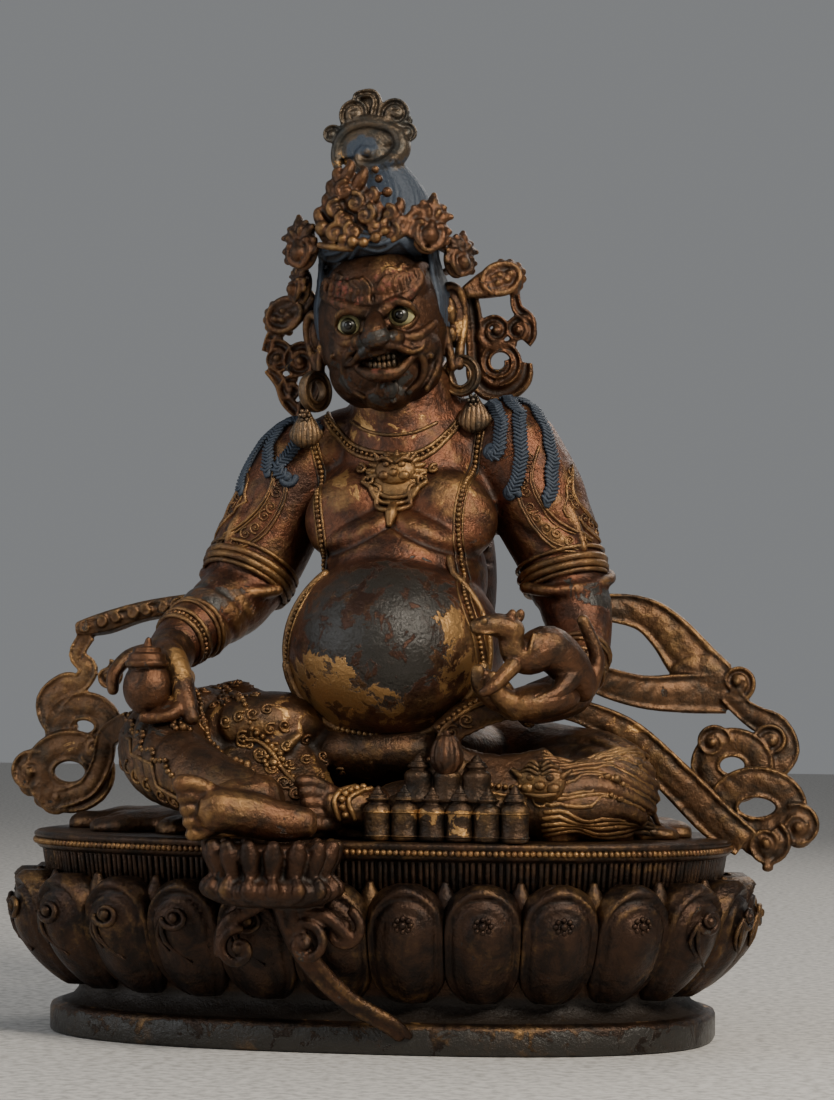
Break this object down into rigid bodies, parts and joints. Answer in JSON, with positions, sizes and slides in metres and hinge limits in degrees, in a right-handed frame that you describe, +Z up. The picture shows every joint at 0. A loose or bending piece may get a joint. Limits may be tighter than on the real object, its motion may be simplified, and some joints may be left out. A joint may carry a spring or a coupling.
{
  "type": "seated deity statue",
  "caption": "Cast and gilded figure of Jambhala seated on a lotus pedestal, with crown, scarves, mongoose, citron and treasure vases.",
  "frame": {"origin": "middle of the pedestal's underside", "axes": "+Z up, +Y to the back: the figure faces -Y, and +X is on the right of someone who looks at its face"},
  "size_m": [0.2595, 0.1837, 0.3008],
  "materials": {
    "pedestal": "dark patinated bronze, worn to gilding on the edges",
    "figure": "worn gilding and red lacquer over dark bronze, with blue pigment on the hair",
    "crown": "rubbed gilding over dark bronze",
    "scarves": "rubbed gilding over dark bronze",
    "vases": "dark patinated bronze with remains of gilding"
  },
  "bodies": {
    "root": {"lotus_pedestal": "pedestal", "figure": "figure", "crown": "crown", "scarf_right": "scarves", "scarf_left": "scarves", "treasure_vases": "vases"}
  },
  "joints": []
}
